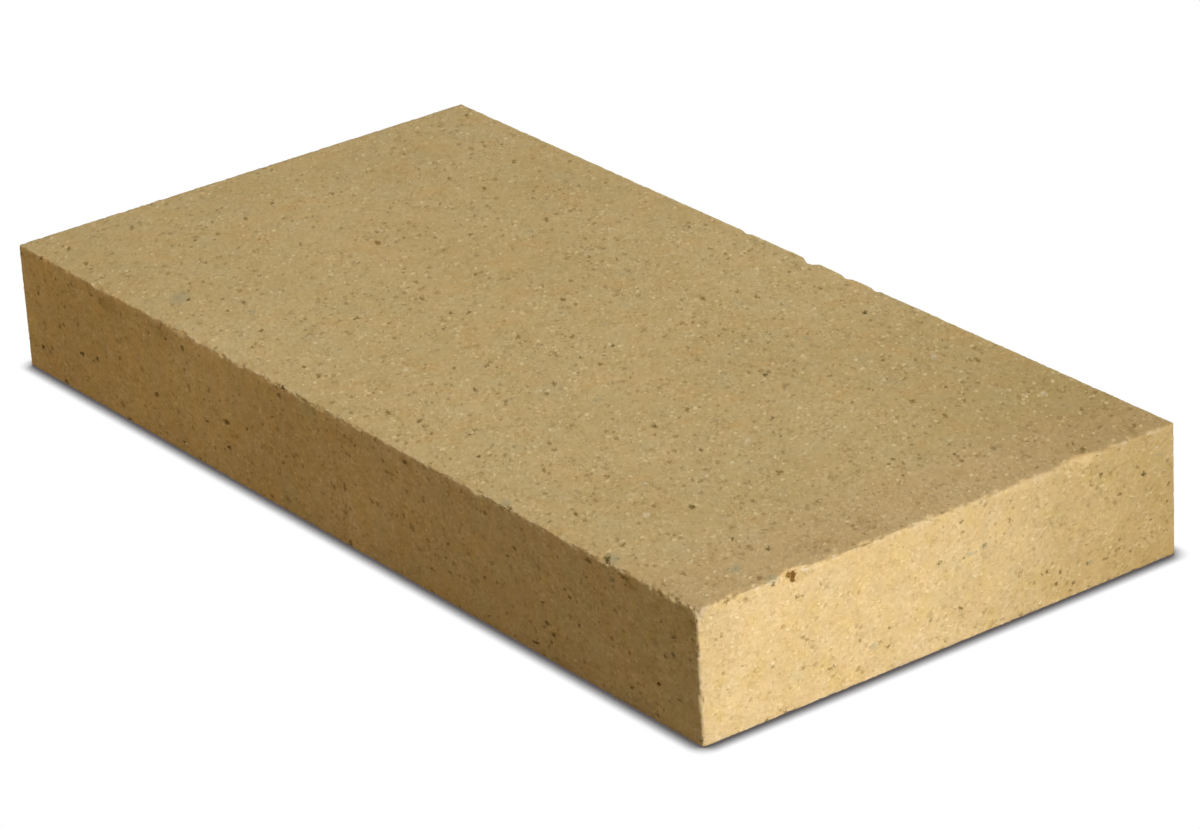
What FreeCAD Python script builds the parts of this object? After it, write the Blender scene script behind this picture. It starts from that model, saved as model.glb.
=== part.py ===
import FreeCAD, Part
import math
import os
from typing import NamedTuple

# A thin-format refractory firebrick: one piece of fireclay, dry-pressed and fired.
# Millimetres. The origin is the centre of the lower bed face. +Z runs up through the
# thickness, +X along the length towards the knocked corner, and +Y across the width.

# Driving dimensions of the pressed block
LENGTH = 250.0          # end face to end face
WIDTH = 124.0           # long side to long side
THICKNESS = 30.0        # bed face to bed face
UPRIGHT_RADIUS = 0.6    # the four upright edges, as the corners of the mould leave them
ARRIS_RADIUS = 0.4      # the edges round both bed faces

# Driving dimensions of the knocked corner, measured from the corner before it was rounded
KNOCK_LENGTH = 1.6      # along the front edge
KNOCK_WIDTH = 1.6       # along the end edge
KNOCK_DEPTH = 2.4       # down the upright edge


class Chip(NamedTuple):
    """A shell-shaped flake that is missing from an edge."""
    place: float        # from the edge's anchor to the middle of the flake
    length: float       # along the rounded edge
    bite: float         # depth at the middle, below the rounded edge
    lean: float         # degrees that the flake turns from the bisector towards the edge's second face


# Driving dimensions of the chips, listed by the edge that they are on
CHIPS_FRONT_NEAR = (
    Chip(place=23.0, length=3.5, bite=0.5, lean=20.0),
    Chip(place=30.0, length=5.0, bite=0.6, lean=-10.0),
)
CHIPS_FRONT_MIDDLE = (
    Chip(place=4.5, length=6.0, bite=0.6, lean=0.0),
)
CHIPS_FRONT_FAR = (
    Chip(place=33.5, length=5.0, bite=0.5, lean=-15.0),
    Chip(place=68.0, length=5.0, bite=0.7, lean=20.0),
)
CHIPS_END_NEAR = (
    Chip(place=24.5, length=8.0, bite=1.6, lean=25.0),
)
CHIPS_END_FAR = (
    Chip(place=26.0, length=13.0, bite=1.4, lean=10.0),
)
CHIPS_BACK_MIDDLE = (
    Chip(place=-30.5, length=3.5, bite=0.5, lean=0.0),
    Chip(place=-20.5, length=3.2, bite=0.7, lean=-10.0),
    Chip(place=-8.0, length=5.5, bite=1.3, lean=0.0),
    Chip(place=14.5, length=3.0, bite=0.5, lean=10.0),
)
CHIPS_UPRIGHT = (
    Chip(place=10.5, length=2.6, bite=0.5, lean=0.0),
)

# Unit directions
X = FreeCAD.Vector(1, 0, 0)
Y = FreeCAD.Vector(0, 1, 0)
Z = FreeCAD.Vector(0, 0, 1)

# Points of the block before its edges are rounded
FRONT_MIDDLE = -Y * (WIDTH / 2)
BACK_MIDDLE = Y * (WIDTH / 2)
FRONT_NEAR = FRONT_MIDDLE + X * (LENGTH / 2)
FRONT_FAR = FRONT_MIDDLE - X * (LENGTH / 2)
BACK_NEAR = BACK_MIDDLE + X * (LENGTH / 2)
TOP = Z * THICKNESS
SQUARE_BISECTOR = math.radians(45)


class Edge(NamedTuple):
    """A straight edge of the block, as the chips along it need it."""
    anchor: FreeCAD.Vector      # the point of the unrounded edge that places are measured from
    run: FreeCAD.Vector         # the direction that places are measured in
    first_face: FreeCAD.Vector  # outward normal of one face beside the edge
    second_face: FreeCAD.Vector
    radius: float               # rounding of the edge


CHIPPED_EDGES = (
    (Edge(FRONT_NEAR + TOP, -X, Z, -Y, ARRIS_RADIUS), CHIPS_FRONT_NEAR),
    (Edge(FRONT_MIDDLE + TOP, -X, Z, -Y, ARRIS_RADIUS), CHIPS_FRONT_MIDDLE),
    (Edge(FRONT_FAR + TOP, X, Z, -Y, ARRIS_RADIUS), CHIPS_FRONT_FAR),
    (Edge(FRONT_NEAR + TOP, Y, Z, X, ARRIS_RADIUS), CHIPS_END_NEAR),
    (Edge(BACK_NEAR + TOP, -Y, Z, X, ARRIS_RADIUS), CHIPS_END_FAR),
    (Edge(BACK_MIDDLE + TOP, -X, Z, Y, ARRIS_RADIUS), CHIPS_BACK_MIDDLE),
    (Edge(FRONT_NEAR, Z, X, -Y, UPRIGHT_RADIUS), CHIPS_UPRIGHT),
)


def is_upright(direction):
    """Returns whether a unit direction along one of the block's axes is the vertical one."""
    return abs(direction.dot(Z)) > math.cos(SQUARE_BISECTOR)


def pressed_block():
    """Returns the block with its upright edges and both rings of arrises rounded."""
    block = Part.makeBox(LENGTH, WIDTH, THICKNESS, FRONT_FAR)
    uprights = [edge for edge in block.Edges if is_upright(edge.tangentAt(edge.FirstParameter))]
    block = block.makeFillet(UPRIGHT_RADIUS, uprights)
    beds = [face for face in block.Faces if is_upright(face.normalAt(0, 0))]
    arrises = [edge for bed in beds for edge in bed.Edges]
    return block.makeFillet(ARRIS_RADIUS, arrises)


def knocked_corner():
    """Returns a round cutter whose flat end is the break across the upper front corner."""
    reaches = (X * -KNOCK_LENGTH, Y * KNOCK_WIDTH, Z * -KNOCK_DEPTH)
    middle = FRONT_NEAR + TOP + sum(reaches, FreeCAD.Vector()) / len(reaches)
    outward = X / KNOCK_LENGTH - Y / KNOCK_WIDTH + Z / KNOCK_DEPTH
    size = KNOCK_LENGTH + KNOCK_WIDTH + KNOCK_DEPTH
    return Part.makeCylinder(size, size, middle, outward)


def flake(edge, chip):
    """Returns the ball that leaves a chip of the stated length and bite in a rounded edge."""
    bisector = (edge.first_face + edge.second_face).normalize()
    rounded_off = edge.radius * (math.sqrt(2) - 1)
    crest = edge.anchor + edge.run * chip.place - bisector * rounded_off
    turn = SQUARE_BISECTOR + math.radians(chip.lean)
    outward = edge.first_face * math.cos(turn) + edge.second_face * math.sin(turn)
    stand_off = (chip.length ** 2 / 4 - chip.bite ** 2) / (2 * chip.bite)
    return Part.makeSphere(stand_off + chip.bite, crest + outward * stand_off)


def firebrick():
    """Returns the whole brick as one solid."""
    flakes = [flake(edge, chip) for edge, chips in CHIPPED_EDGES for chip in chips]
    return pressed_block().cut([knocked_corner()] + flakes).Solids[0]


os.makedirs("parts", exist_ok=True)
brick = firebrick()
brick.exportStep("parts/firebrick.step")
box = brick.optimalBoundingBox()
print(f"firebrick {box.XLength:.3f} x {box.YLength:.3f} x {box.ZLength:.3f} mm,"
      f" {brick.Volume / 1000:.2f} cm3, valid {brick.isValid()}, {len(brick.Faces)} faces")
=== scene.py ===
"""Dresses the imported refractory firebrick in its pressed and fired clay.

The clay is one piece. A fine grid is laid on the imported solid, roughened by the same rules that
colour it, thinned to a plain mesh and put in the solid's place. The frame is in metres. The
clay's own sizes are in millimetres, as a brickmaker gives them.
"""

import logging
import math
from dataclasses import dataclass
from enum import Enum
from functools import reduce
from typing import Dict, List, NamedTuple, Tuple, Union

import bpy
import numpy as np
from mathutils import Matrix, Vector


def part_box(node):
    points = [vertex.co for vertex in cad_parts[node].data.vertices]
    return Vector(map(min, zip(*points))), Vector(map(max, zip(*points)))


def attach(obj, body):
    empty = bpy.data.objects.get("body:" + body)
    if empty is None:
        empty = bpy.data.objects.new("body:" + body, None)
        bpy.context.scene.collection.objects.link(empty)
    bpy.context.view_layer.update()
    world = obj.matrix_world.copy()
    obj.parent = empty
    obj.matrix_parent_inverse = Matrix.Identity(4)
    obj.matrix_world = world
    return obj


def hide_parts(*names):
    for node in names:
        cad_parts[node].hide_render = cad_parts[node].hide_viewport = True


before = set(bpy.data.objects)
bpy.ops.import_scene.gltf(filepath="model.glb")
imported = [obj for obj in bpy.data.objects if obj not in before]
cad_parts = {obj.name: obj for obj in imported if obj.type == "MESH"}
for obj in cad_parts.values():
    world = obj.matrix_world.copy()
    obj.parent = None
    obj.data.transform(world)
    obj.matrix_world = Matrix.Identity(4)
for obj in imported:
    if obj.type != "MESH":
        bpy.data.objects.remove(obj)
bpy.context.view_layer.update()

log = logging.getLogger("firebrick")

MILLIMETRE = 0.001
SOLID_NODE = "firebrick"

Colour = Tuple[float, float, float]
Triple = Tuple[float, float, float]
Inputs = Dict[Union[str, int], object]


@dataclass(frozen=True)
class Field:
    """A socket of a node tree that takes part in arithmetic like a number."""

    graph: "Graph"
    socket: bpy.types.NodeSocket

    def __add__(self, other: "Value") -> "Field":
        """Adds a number or another field."""
        return self.graph.math("ADD", self, other)

    def __sub__(self, other: "Value") -> "Field":
        """Takes away a number or another field."""
        return self.graph.math("SUBTRACT", self, other)

    def __rsub__(self, other: float) -> "Field":
        """Takes this field away from a number."""
        return self.graph.math("SUBTRACT", other, self)

    def __mul__(self, other: "Value") -> "Field":
        """Multiplies by a number or another field."""
        return self.graph.math("MULTIPLY", self, other)

    def __truediv__(self, other: "Value") -> "Field":
        """Divides by a number or another field."""
        return self.graph.math("DIVIDE", self, other)

    def at_least(self, other: "Value") -> "Field":
        """Gives the larger of this field and another."""
        return self.graph.math("MAXIMUM", self, other)

    def at_most(self, other: "Value") -> "Field":
        """Gives the smaller of this field and another."""
        return self.graph.math("MINIMUM", self, other)

    def size(self) -> "Field":
        """Gives the field without its sign."""
        return self.graph.math("ABSOLUTE", self)

    def power(self, exponent: float) -> "Field":
        """Raises the field to a power."""
        return self.graph.math("POWER", self, exponent)

    def above(self, level: "Value") -> "Field":
        """Gives 1 where the field is above a level and 0 elsewhere."""
        return self.graph.math("GREATER_THAN", self, level)

    def rises(self, low: "Value", high: "Value") -> "Field":
        """Gives a smooth step from 0 at the low level to 1 at the high one."""
        return self.graph.step(self, low, high, 0.0, 1.0)

    def falls(self, low: "Value", high: "Value") -> "Field":
        """Gives a smooth step from 1 at the low level to 0 at the high one."""
        return self.graph.step(self, low, high, 1.0, 0.0)


Value = Union[Field, float]


class Cells(NamedTuple):
    """What a cell texture says of a point: how far its grain is, and three numbers of that grain."""

    distance: Field
    chance: Field
    girth: Field
    tone: Field


class Graph:
    """A node tree that is written as expressions. It serves shaders and geometry alike."""

    def __init__(self, tree: bpy.types.NodeTree) -> None:
        """Takes the tree that the nodes go into.

        Args:
            tree: a shader or geometry node tree.
        """
        self.tree = tree

    def node(self, kind: str, inputs: Inputs, **settings: object) -> bpy.types.Node:
        """Adds a node.

        Args:
            kind: the node's type name.
            inputs: a value, socket or field for each input, by name or place.
            settings: properties of the node.

        Returns:
            The new node.
        """
        made = self.tree.nodes.new(kind)
        for name, value in settings.items():
            setattr(made, name, value)
        for key, value in inputs.items():
            self.feed(made.inputs[key], value)
        return made

    def feed(self, socket: bpy.types.NodeSocket, value: object) -> None:
        """Links a field or socket to an input, or sets the input's own value.

        Args:
            socket: the input.
            value: what it takes.
        """
        source = value.socket if isinstance(value, Field) else value
        if isinstance(source, bpy.types.NodeSocket):
            self.tree.links.new(source, socket)
        else:
            socket.default_value = source

    def field(self, node: bpy.types.Node, output: Union[str, int] = 0) -> Field:
        """Wraps one output of a node as a field."""
        return Field(self, node.outputs[output])

    def math(self, operation: str, first: Value, second: Value = 0.0) -> Field:
        """Adds a sum of two numbers.

        Args:
            operation: the sum's name.
            first: its first number.
            second: its second number, where it has one.

        Returns:
            The result.
        """
        return self.field(self.node("ShaderNodeMath", {0: first, 1: second}, operation=operation))

    def step(self, value: Value, low: Value, high: Value, start: Value, end: Value) -> Field:
        """Adds a smooth step between two levels.

        Args:
            value: the field that is measured.
            low: the level where the step starts.
            high: the level where it ends.
            start: the result at the low level and below it.
            end: the result at the high level and above it.

        Returns:
            The stepped field.
        """
        inputs = {0: value, 1: low, 2: high, 3: start, 4: end}
        return self.field(self.node("ShaderNodeMapRange", inputs, interpolation_type="SMOOTHSTEP"))

    def vector(self, operation: str, *vectors: object) -> Field:
        """Adds a sum of vectors.

        Args:
            operation: the sum's name.
            vectors: its vectors, in order.

        Returns:
            The vector result.
        """
        inputs = dict(enumerate(vectors))
        return self.field(self.node("ShaderNodeVectorMath", inputs, operation=operation))

    def scaled(self, vector: object, amount: Value) -> Field:
        """Gives a vector times a number."""
        inputs = {0: vector, "Scale": amount}
        return self.field(self.node("ShaderNodeVectorMath", inputs, operation="SCALE"))

    def dot(self, first: object, second: object) -> Field:
        """Gives the dot product of two vectors."""
        inputs = {0: first, 1: second}
        return self.field(self.node("ShaderNodeVectorMath", inputs, operation="DOT_PRODUCT"), "Value")

    def length(self, vector: Field) -> Field:
        """Gives a vector's length."""
        return self.field(self.node("ShaderNodeVectorMath", {0: vector}, operation="LENGTH"), "Value")

    def parts(self, vector: Field) -> Tuple[Field, Field, Field]:
        """Gives a vector's three numbers."""
        split = self.node("ShaderNodeSeparateXYZ", {0: vector})
        return self.field(split, 0), self.field(split, 1), self.field(split, 2)

    def noise(self, place: Field, size: float, detail: float = 2.0, roughness: float = 0.5) -> Field:
        """Adds a noise about zero.

        Args:
            place: where it is read, in millimetres.
            size: its coarsest grain, in millimetres.
            detail: how many finer octaves it has.
            roughness: how strong each octave is beside the last.

        Returns:
            The noise, mostly from -0.3 to 0.3.
        """
        inputs = {"Vector": place, "Scale": 1.0 / size, "Detail": detail, "Roughness": roughness}
        return self.field(self.node("ShaderNodeTexNoise", inputs), "Fac") - 0.5

    def shaken(self, place: Field, size: float, reach: float) -> Field:
        """Shifts a place by a noise, so that what is drawn there has ragged outlines.

        Args:
            place: the place, in millimetres.
            size: the noise's coarsest grain, in millimetres.
            reach: how far the place may move, in millimetres.

        Returns:
            The shifted place.
        """
        noise = self.node("ShaderNodeTexNoise", {"Vector": place, "Scale": 1.0 / size})
        centred = self.vector("SUBTRACT", self.field(noise, "Color"), (0.5, 0.5, 0.5))
        return self.vector("ADD", place, self.scaled(centred, reach * 2.0))

    def cells(self, place: Field, size: float) -> Cells:
        """Adds a cell texture, one grain to a cell.

        Args:
            place: where it is read, in millimetres.
            size: the mean spacing of the grains, in millimetres.

        Returns:
            The distance to the nearest grain in millimetres, and the grain's own numbers from 0 to 1.
        """
        made = self.node("ShaderNodeTexVoronoi", {"Vector": place, "Scale": 1.0 / size})
        chance, girth, tone = self.parts(self.field(made, "Color"))
        return Cells(self.field(made, "Distance") * size, chance, girth, tone)

    def tinted(self, amount: Value, under: object, over: object) -> Field:
        """Lays one colour over another.

        Args:
            amount: how much of the upper colour shows, from 0 to 1.
            under: the lower colour or field.
            over: the upper colour or field.

        Returns:
            The mixed colour.
        """
        inputs = {0: amount, 6: as_colour(under), 7: as_colour(over)}
        return self.field(self.node("ShaderNodeMix", inputs, data_type="RGBA"), 2)


def as_colour(value: object) -> object:
    """Gives a plain colour an alpha of one, and leaves a field as it is."""
    return value if isinstance(value, Field) else (*value, 1.0)


class Span(NamedTuple):
    """Two levels that a mask or a number goes between."""

    low: float
    high: float

    def between(self, mask: Field) -> Field:
        """Gives the low level where a mask is 0 and the high one where it is 1."""
        return mask * (self.high - self.low) + self.low


class Face(Enum):
    """The faces of the brick that marks are placed on."""

    TOP = "top"
    FRONT = "front"
    NEAR_END = "near end"


class Mark(Enum):
    """What a placed mark is made of.

    Its values are its colour, how much of that shows, its depth in millimetres, and the share of its
    radii at which it starts to fade.
    """

    KNOCK = ((0.360, 0.275, 0.175), 0.65, 0.00, 0.50)
    GREY = ((0.312, 0.273, 0.162), 0.60, 0.00, 0.30)
    SMEAR = ((0.270, 0.200, 0.070), 0.55, 0.00, 0.10)
    PALE = ((0.600, 0.490, 0.320), 0.65, 0.00, 0.30)
    BURNT = ((0.195, 0.122, 0.033), 0.85, 0.00, 0.25)
    # Slots are real hollows; their dark colour is painted shade
    PAINTED_SHADE_SLOT = ((0.130, 0.080, 0.016), 0.85, 0.20, 0.20)
    RUST = ((0.125, 0.056, 0.008), 1.00, 0.30, 0.60)
    # Pits are real hollows; their dark colour is painted shade
    PAINTED_SHADE_PIT = ((0.086, 0.060, 0.013), 0.90, 0.35, 0.30)

    def __init__(self, colour: Colour, strength: float, depth: float, core: float) -> None:
        """Keeps the mark's colour, how much of it shows, its depth, and where it starts to fade."""
        self.colour = colour
        self.strength = strength
        self.depth = depth
        self.core = core


class Spot(NamedTuple):
    """Where a mark lies on its face and how far it reaches there, in millimetres.

    On the top, first is along the length and second across the width. On the front they are along
    the length and up, and on the near end across the width and up.
    """

    first: float
    second: float
    first_radius: float
    second_radius: float

    def centre(self, face: Face, brick: "BrickBox") -> Triple:
        """Gives the mark's middle on a face, in millimetres."""
        return {
            Face.TOP: (self.first, self.second, brick.thickness),
            Face.FRONT: (self.first, -brick.width / 2, self.second),
            Face.NEAR_END: (brick.length / 2, self.first, self.second),
        }[face]

    def radii(self, face: Face, through: float) -> Triple:
        """Gives the mark's reach along the three axes, with one reach for the way into the face."""
        return {
            Face.TOP: (self.first_radius, self.second_radius, through),
            Face.FRONT: (self.first_radius, through, self.second_radius),
            Face.NEAR_END: (through, self.first_radius, self.second_radius),
        }[face]


# The marks that the brick carries, by what they are made of and by the face that they are on
BLEMISHES: Dict[Mark, Dict[Face, Tuple[Spot, ...]]] = {
    Mark.KNOCK: {
        Face.NEAR_END: (
            Spot(-61.0, 28.8, 1.5, 1.8),
        ),
    },
    Mark.GREY: {
        Face.TOP: (
            Spot(96.3, -60.0, 1.9, 1.6),
            Spot(115.8, -45.2, 1.6, 2.0),
            Spot(-72.9, -52.1, 2.8, 3.2),
            Spot(3.7, 7.1, 0.8, 0.9),
            Spot(-55.5, -44.3, 1.3, 1.1),
            Spot(33.8, -17.0, 0.9, 0.8),
            Spot(39.9, 34.3, 1.2, 0.9),
            Spot(61.4, -60.6, 1.3, 1.2),
        ),
        Face.NEAR_END: (
            Spot(-43.0, 29.8, 1.6, 1.3),
            Spot(7.0, 18.8, 1.6, 0.8),
            Spot(10.6, 19.3, 1.1, 1.0),
            Spot(-18.5, 7.0, 1.5, 1.2),
            Spot(38.5, 6.1, 1.3, 1.0),
            Spot(57.6, 24.2, 0.8, 0.6),
        ),
    },
    Mark.SMEAR: {
        Face.TOP: (
            Spot(24.0, -5.6, 0.9, 0.7),
            Spot(72.8, -20.9, 1.0, 0.8),
            Spot(80.5, -40.6, 0.9, 0.8),
            Spot(110.0, -17.0, 0.9, 1.4),
            Spot(111.8, -14.5, 0.9, 1.4),
            Spot(-117.6, 50.7, 1.0, 1.0),
            Spot(-67.6, 50.4, 1.3, 1.0),
            Spot(-54.4, 15.3, 0.9, 0.9),
            Spot(74.3, 2.3, 1.2, 1.0),
        ),
        Face.FRONT: (
            Spot(-87.0, 26.5, 5.0, 3.2),
            Spot(-66.0, 27.2, 5.0, 2.8),
            Spot(31.0, 9.0, 1.3, 0.8),
            Spot(50.3, 8.0, 1.4, 1.0),
            Spot(63.2, 15.8, 0.9, 0.8),
            Spot(76.3, 20.0, 1.1, 0.8),
            Spot(104.6, 27.4, 2.0, 1.0),
            Spot(110.6, 18.0, 1.3, 0.9),
            Spot(119.6, 28.6, 1.6, 0.8),
        ),
        Face.NEAR_END: (
            Spot(-4.1, 8.8, 0.9, 1.3),
        ),
    },
    Mark.PALE: {
        Face.TOP: (
            Spot(-6.6, -37.8, 0.8, 0.9),
            Spot(71.5, -7.0, 0.7, 0.7),
            Spot(73.2, -34.8, 0.8, 0.8),
            Spot(65.9, 47.8, 1.0, 1.0),
            Spot(95.9, 52.1, 1.0, 0.9),
            Spot(84.9, -43.3, 0.9, 0.9),
        ),
        Face.NEAR_END: (
            Spot(-35.0, 29.2, 0.9, 0.7),
            Spot(57.0, 25.8, 0.6, 0.8),
            Spot(-8.0, 3.1, 0.7, 0.7),
            Spot(-2.2, 4.5, 0.5, 0.5),
        ),
    },
    Mark.BURNT: {
        Face.TOP: (
            Spot(-101.3, 51.0, 0.6, 0.6),
            Spot(-117.7, 58.4, 0.9, 0.8),
            Spot(-86.0, 49.1, 0.7, 0.6),
            Spot(-93.7, 39.5, 0.6, 0.6),
            Spot(-88.1, 32.1, 1.0, 0.6),
            Spot(-77.4, 34.3, 0.9, 0.7),
            Spot(-68.1, 41.7, 0.6, 0.6),
            Spot(-52.4, 33.6, 1.1, 0.8),
            Spot(-22.9, 31.3, 0.6, 0.6),
            Spot(-28.2, 27.4, 0.6, 0.6),
            Spot(-13.4, 49.7, 0.6, 0.6),
            Spot(-8.0, 50.4, 0.5, 0.5),
            Spot(-25.9, 54.1, 0.8, 0.7),
            Spot(-38.1, 3.5, 0.6, 0.6),
            Spot(-35.4, -12.9, 0.9, 0.7),
            Spot(-13.1, 9.1, 1.1, 0.8),
            Spot(7.4, 31.6, 1.1, 0.8),
            Spot(15.0, 40.6, 0.9, 0.7),
            Spot(-3.5, -10.0, 0.6, 0.6),
            Spot(4.3, -1.4, 0.8, 0.8),
            Spot(21.2, -19.0, 0.9, 0.7),
            Spot(24.4, -23.3, 0.7, 0.6),
            Spot(21.5, -31.8, 0.8, 0.7),
            Spot(16.9, -50.4, 0.7, 0.9),
            Spot(19.7, -51.6, 0.7, 0.9),
            Spot(23.9, -52.3, 0.6, 0.6),
            Spot(28.7, -45.0, 0.7, 0.7),
            Spot(44.6, -37.5, 0.9, 0.7),
            Spot(8.9, -52.9, 0.9, 0.9),
            Spot(26.0, 25.4, 0.6, 0.6),
            Spot(50.9, -6.7, 0.8, 0.8),
            Spot(-116.7, -55.1, 0.6, 0.6),
            Spot(-104.5, -56.5, 0.7, 0.7),
            Spot(-115.1, -37.6, 0.9, 0.8),
            Spot(-98.0, -25.4, 0.9, 0.6),
            Spot(-98.4, -31.3, 0.6, 0.6),
            Spot(-101.3, -15.8, 0.8, 0.7),
            Spot(-104.5, -6.3, 0.7, 0.7),
            Spot(-99.7, 7.2, 0.8, 0.6),
            Spot(-68.4, -2.0, 1.3, 0.9),
            Spot(-59.8, -48.0, 0.7, 0.6),
            Spot(-45.1, -48.6, 0.7, 0.8),
            Spot(-39.2, -55.1, 0.8, 0.6),
            Spot(-23.0, -52.6, 0.7, 0.7),
            Spot(-36.3, -29.8, 0.7, 0.8),
            Spot(9.2, 54.4, 0.7, 0.7),
            Spot(21.1, 53.4, 0.6, 0.6),
            Spot(60.1, 38.8, 0.7, 0.7),
            Spot(73.4, 53.4, 1.0, 0.7),
            Spot(80.0, 30.0, 0.8, 0.8),
            Spot(87.7, 37.7, 0.8, 0.7),
            Spot(90.0, 30.3, 1.1, 0.7),
            Spot(102.2, 13.1, 0.6, 0.6),
            Spot(100.2, 6.7, 0.8, 0.6),
            Spot(109.2, 18.6, 0.6, 0.6),
            Spot(121.7, 39.7, 1.0, 0.6),
            Spot(120.3, 55.0, 0.6, 0.6),
            Spot(87.7, -11.7, 0.9, 0.9),
            Spot(54.1, -45.9, 0.7, 0.6),
            Spot(65.6, -38.4, 0.6, 0.6),
            Spot(92.4, -55.0, 0.7, 0.8),
            Spot(110.8, -54.0, 0.8, 0.6),
            Spot(103.8, -14.5, 0.7, 0.6),
        ),
    },
    Mark.PAINTED_SHADE_SLOT: {
        Face.TOP: (
            Spot(14.3, -6.8, 0.8, 0.6),
            Spot(20.2, -5.9, 0.6, 0.8),
            Spot(-24.6, -13.0, 0.8, 0.7),
            Spot(-21.8, -10.2, 0.6, 0.9),
            Spot(-18.5, -19.0, 0.7, 0.6),
            Spot(3.7, -23.9, 0.9, 0.8),
            Spot(-0.3, -29.6, 0.7, 0.6),
            Spot(12.2, -32.8, 1.0, 0.7),
            Spot(52.5, -16.4, 1.0, 0.7),
            Spot(66.5, 3.9, 0.6, 0.9),
            Spot(68.4, -16.5, 0.7, 0.7),
            Spot(74.9, -53.2, 0.7, 0.8),
            Spot(88.3, -34.3, 1.1, 0.9),
            Spot(99.0, 8.9, 0.7, 0.7),
            Spot(105.4, 19.7, 0.6, 0.7),
            Spot(-57.4, 16.1, 0.6, 0.6),
            Spot(29.6, -46.9, 0.7, 0.6),
            Spot(39.4, -51.7, 0.6, 0.6),
            Spot(-114.5, -54.9, 0.7, 0.7),
            Spot(-80.1, -15.0, 0.6, 0.7),
            Spot(-61.2, -42.7, 0.8, 0.7),
            Spot(-16.7, -53.1, 0.8, 0.7),
            Spot(79.5, 39.6, 0.7, 0.6),
            Spot(93.2, 50.3, 0.7, 0.6),
            Spot(106.3, 5.6, 0.8, 0.6),
            Spot(118.4, 40.4, 0.7, 0.6),
        ),
        Face.FRONT: (
            Spot(-56.9, 26.2, 0.8, 1.4),
            Spot(3.8, 14.1, 0.5, 1.4),
            Spot(3.4, 7.6, 0.6, 0.7),
            Spot(25.7, 14.8, 0.6, 0.9),
            Spot(34.3, 12.2, 0.6, 0.6),
            Spot(41.3, 14.0, 0.8, 0.5),
            Spot(53.7, 10.9, 0.6, 0.7),
            Spot(62.0, 19.0, 0.5, 0.6),
            Spot(65.2, 21.6, 0.9, 0.6),
            Spot(73.7, 12.6, 0.6, 0.8),
            Spot(75.0, 8.4, 0.9, 1.1),
            Spot(77.0, 6.6, 1.0, 0.9),
            Spot(53.8, 2.4, 0.8, 0.5),
            Spot(70.5, 2.4, 1.2, 0.5),
            Spot(101.9, 28.5, 1.5, 0.9),
            Spot(114.2, 16.0, 0.8, 0.6),
            Spot(117.4, 21.3, 0.5, 1.0),
            Spot(-69.9, 10.8, 1.0, 0.9),
            Spot(-63.8, 26.1, 0.5, 0.7),
            Spot(-118.1, 19.8, 0.5, 0.5),
            Spot(-95.0, 2.8, 0.5, 0.5),
            Spot(-32.7, 29.6, 0.7, 0.5),
            Spot(-59.9, 2.6, 0.5, 0.7),
            Spot(-49.3, 11.0, 0.7, 0.5),
            Spot(-50.3, 26.4, 0.5, 0.5),
            Spot(-33.3, 14.9, 0.5, 0.5),
            Spot(9.0, 25.2, 0.5, 0.6),
            Spot(118.0, 7.8, 0.6, 0.5),
            Spot(110.5, 1.6, 0.7, 0.5),
            Spot(86.0, 12.2, 0.5, 0.9),
            Spot(83.2, 17.3, 0.5, 0.6),
            Spot(16.0, 14.2, 0.5, 0.9),
            Spot(34.5, 5.8, 0.7, 0.6),
            Spot(46.4, 7.8, 0.6, 0.5),
            Spot(90.4, 28.0, 1.2, 0.7),
        ),
        Face.NEAR_END: (
            Spot(-54.5, 29.3, 1.0, 0.5),
            Spot(-37.4, 24.4, 0.6, 0.6),
            Spot(-36.2, 24.2, 0.5, 0.5),
            Spot(10.6, 19.5, 0.5, 0.5),
            Spot(5.0, 18.5, 0.5, 0.5),
            Spot(-15.1, 5.7, 0.6, 0.7),
            Spot(37.9, 5.9, 0.5, 0.7),
            Spot(-30.0, 5.9, 0.6, 0.7),
            Spot(-28.9, 6.3, 0.5, 0.5),
            Spot(4.6, 26.4, 0.6, 0.6),
            Spot(17.4, 22.7, 0.6, 0.7),
            Spot(17.7, 26.9, 0.6, 0.7),
            Spot(41.8, 24.7, 0.7, 0.7),
            Spot(26.9, 7.9, 0.7, 0.7),
            Spot(25.4, 7.8, 0.5, 0.5),
            Spot(29.1, 4.4, 0.8, 0.7),
            Spot(30.6, 6.5, 0.6, 0.6),
            Spot(33.8, 2.9, 0.5, 0.8),
            Spot(49.7, 5.0, 0.5, 0.9),
            Spot(59.7, 12.9, 0.6, 0.7),
            Spot(46.9, 18.5, 0.6, 0.6),
            Spot(-14.7, 9.6, 0.5, 0.5),
            Spot(4.0, 7.6, 0.5, 0.7),
            Spot(42.6, 5.6, 0.6, 0.5),
            Spot(60.0, 16.6, 0.5, 0.6),
            Spot(55.3, 10.2, 0.6, 0.5),
            Spot(-46.3, 0.5, 0.5, 0.6),
            Spot(55.1, 29.2, 0.5, 0.4),
        ),
    },
    Mark.RUST: {
        Face.FRONT: (
            Spot(111.4, 8.8, 0.6, 0.6),
        ),
        Face.NEAR_END: (
            Spot(-38.6, 29.0, 0.9, 0.9),
            Spot(-37.4, 28.9, 0.8, 0.9),
            Spot(-37.9, 28.2, 0.9, 0.9),
        ),
    },
    Mark.PAINTED_SHADE_PIT: {
        Face.TOP: (
            Spot(95.0, -60.8, 1.2, 1.2),
            Spot(-71.0, -51.0, 0.5, 0.7),
            Spot(37.8, 52.2, 0.9, 0.9),
            Spot(48.3, 16.4, 0.7, 0.8),
            Spot(14.0, 2.0, 0.6, 0.7),
            Spot(105.1, -37.5, 0.6, 0.6),
            Spot(113.3, -35.1, 0.6, 0.7),
            Spot(-96.9, 53.6, 0.5, 0.5),
            Spot(63.6, -61.4, 0.8, 0.7),
        ),
        Face.FRONT: (
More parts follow.
